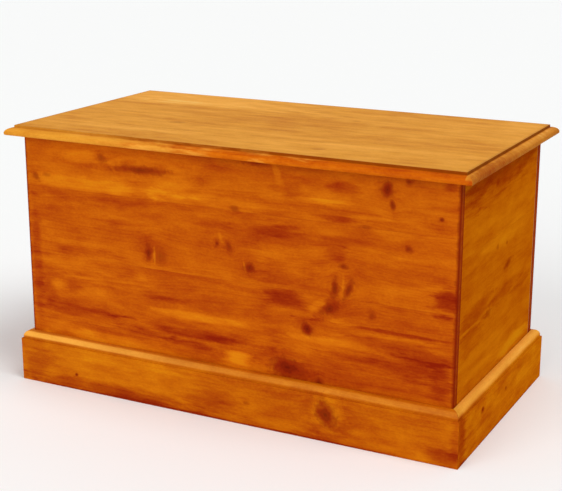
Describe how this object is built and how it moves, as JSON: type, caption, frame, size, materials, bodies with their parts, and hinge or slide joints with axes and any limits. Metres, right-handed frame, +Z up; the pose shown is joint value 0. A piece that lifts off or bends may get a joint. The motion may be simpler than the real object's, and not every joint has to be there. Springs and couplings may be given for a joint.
{
  "type": "pine blanket chest",
  "caption": "Rectangular pine storage chest with an overhanging moulded lid that lifts off, plain board sides and a mitred plinth with a rounded top edge.",
  "frame": {"origin": "on the floor, under the middle of the chest", "axes": "+Z up, +X along the front, -Y is the front"},
  "size_m": [0.956, 0.516, 0.5263],
  "materials": {
    "stained_pine": "orange-brown stain under satin varnish, horizontal grain with knots",
    "stained_pine_lid": "golden-brown stain under satin varnish, grain along the length",
    "stained_pine_plinth": "orange-brown stain under satin varnish, horizontal grain",
    "bare_pine": "planed and unfinished"
  },
  "bodies": {
    "root": {"front_panel": "stained_pine", "back_panel": "stained_pine", "left_side_panel": "stained_pine", "right_side_panel": "stained_pine", "bottom_board": "bare_pine", "lid": "stained_pine_lid", "plinth_front": "stained_pine_plinth", "plinth_back": "stained_pine_plinth", "plinth_left": "stained_pine_plinth", "plinth_right": "stained_pine_plinth"}
  },
  "joints": []
}
